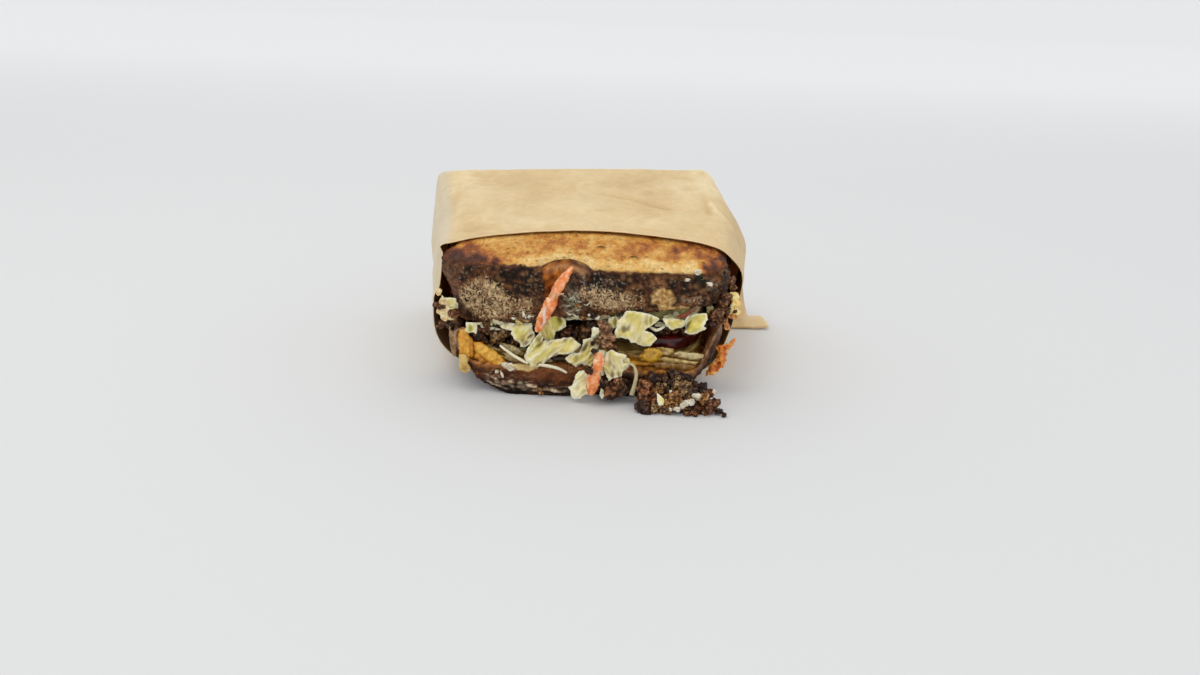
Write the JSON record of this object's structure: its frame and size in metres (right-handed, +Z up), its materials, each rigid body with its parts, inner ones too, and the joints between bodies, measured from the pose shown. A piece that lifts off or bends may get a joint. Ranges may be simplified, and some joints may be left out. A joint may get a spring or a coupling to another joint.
{
  "type": "patty melt",
  "caption": "Patty melt of griddled sourdough with beef, melted cheese, onion, tomato and slaw, sitting in a folded kraft paper sleeve with the filling spilling out in front.",
  "frame": {"origin": "on the flat underside of the paper sleeve, below the middle of the slices", "axes": "+X to the right as seen from the open front, +Y to the closed rear of the sleeve, +Z up"},
  "size_m": [0.156, 0.1191, 0.0698],
  "materials": {
    "kraft_paper": "matt brown greaseproof paper, creased",
    "toasted_crust": "griddled sourdough, golden face and dark crust",
    "melted_cheese": "soft melted cheese",
    "browned_cheese": "crisp browned cheese lace",
    "grilled_onion": "soft translucent onion",
    "tomato": "wet",
    "beef": "browned crumbled beef, moist",
    "cabbage": "dressed cabbage slaw",
    "carrot": "raw carrot strips, moist"
  },
  "bodies": {
    "root": {"paper_sleeve": "kraft_paper", "bread_top": "toasted_crust", "bread_bottom": "toasted_crust", "cheese": "melted_cheese", "cheese_crisp": "browned_cheese", "onions": "grilled_onion", "tomato_slice": "tomato", "beef_patty": "beef", "slaw": "cabbage", "slaw_spill": "cabbage", "carrot_long": "carrot", "carrot_spilled": "carrot", "filling_left": "cabbage", "filling_right": "melted_cheese", "beef_spill": "beef"}
  },
  "joints": []
}
